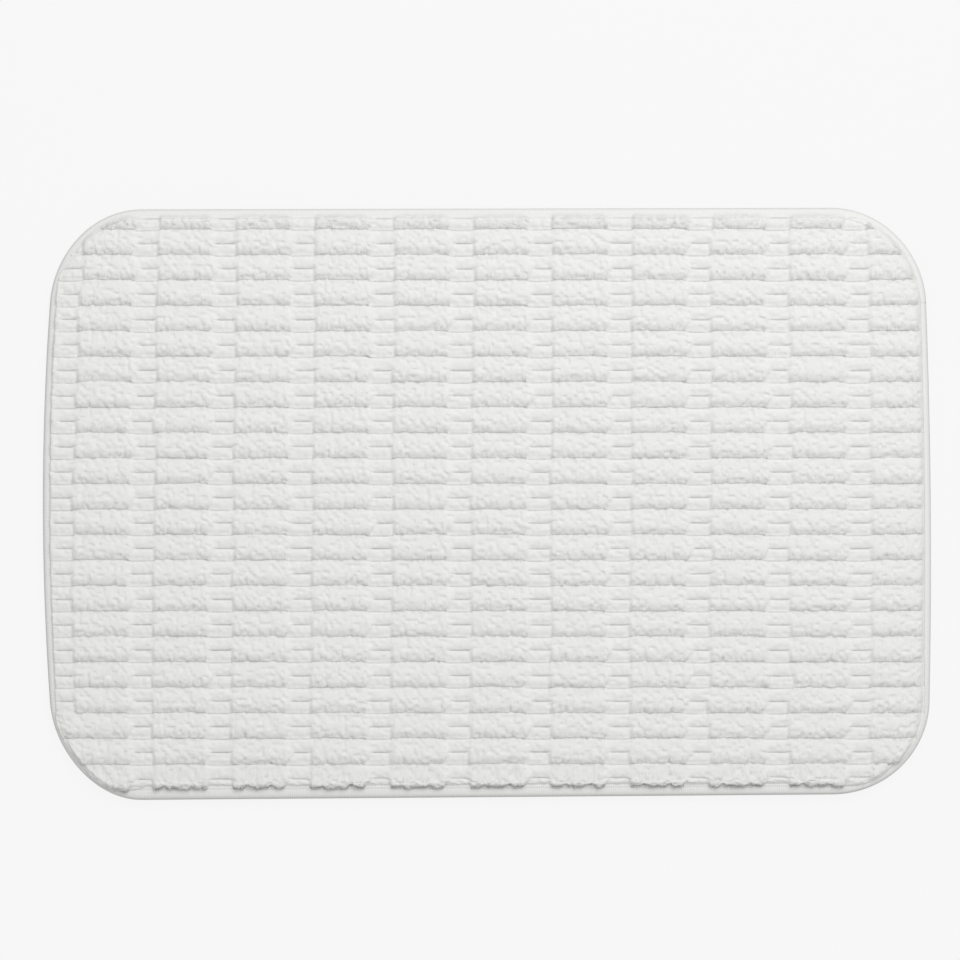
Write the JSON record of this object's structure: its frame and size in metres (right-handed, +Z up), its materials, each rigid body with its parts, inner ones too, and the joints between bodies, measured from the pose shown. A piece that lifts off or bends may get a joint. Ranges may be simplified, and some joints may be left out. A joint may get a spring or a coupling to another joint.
{
  "type": "bath mat",
  "caption": "Rectangular plush bath mat with round corners, rows of raised pile bars joined by low ribs, a taped edge, a foam middle and a dotted non-slip underside.",
  "frame": {"origin": "on the floor under the middle of the mat", "axes": "+X along the mat's length and along its rows of pile, +Y across the rows towards the back edge, +Z up out of the pile"},
  "size_m": [0.9, 0.6, 0.023],
  "materials": {
    "pile": "soft matt cut pile of white microfibre yarn",
    "ground_cloth": "matt fine knit, white",
    "binding_tape": "matt cross-ribbed tape, white",
    "sewing_thread": "slightly shiny twisted polyester thread, white",
    "backing_cloth": "matt plain-woven cloth, off-white",
    "grip_rubber": "satin translucent-looking soft rubber, off-white",
    "memory_foam": "matt open-cell foam, cream",
    "label_satin": "smooth woven satin, white and blank"
  },
  "bodies": {
    "root": {"foam_core": "memory_foam", "ground_cloth": "ground_cloth", "backing_cloth": "backing_cloth", "edge_binding": "binding_tape", "binding_face_thread": "sewing_thread", "binding_under_thread": "sewing_thread", "grip_dots": "grip_rubber", "care_label": "label_satin", "pile_row_01": "pile", "pile_row_02": "pile", "pile_row_03": "pile", "pile_row_04": "pile", "pile_row_05": "pile", "pile_row_06": "pile", "pile_row_07": "pile", "pile_row_08": "pile", "pile_row_09": "pile", "pile_row_10": "pile", "pile_row_11": "pile", "pile_row_12": "pile", "pile_row_13": "pile", "pile_row_14": "pile", "pile_row_15": "pile", "pile_row_16": "pile", "pile_row_17": "pile", "pile_row_18": "pile", "pile_row_19": "pile", "pile_row_20": "pile", "pile_row_21": "pile", "pile_row_22": "pile", "pile_row_23": "pile"}
  },
  "joints": []
}
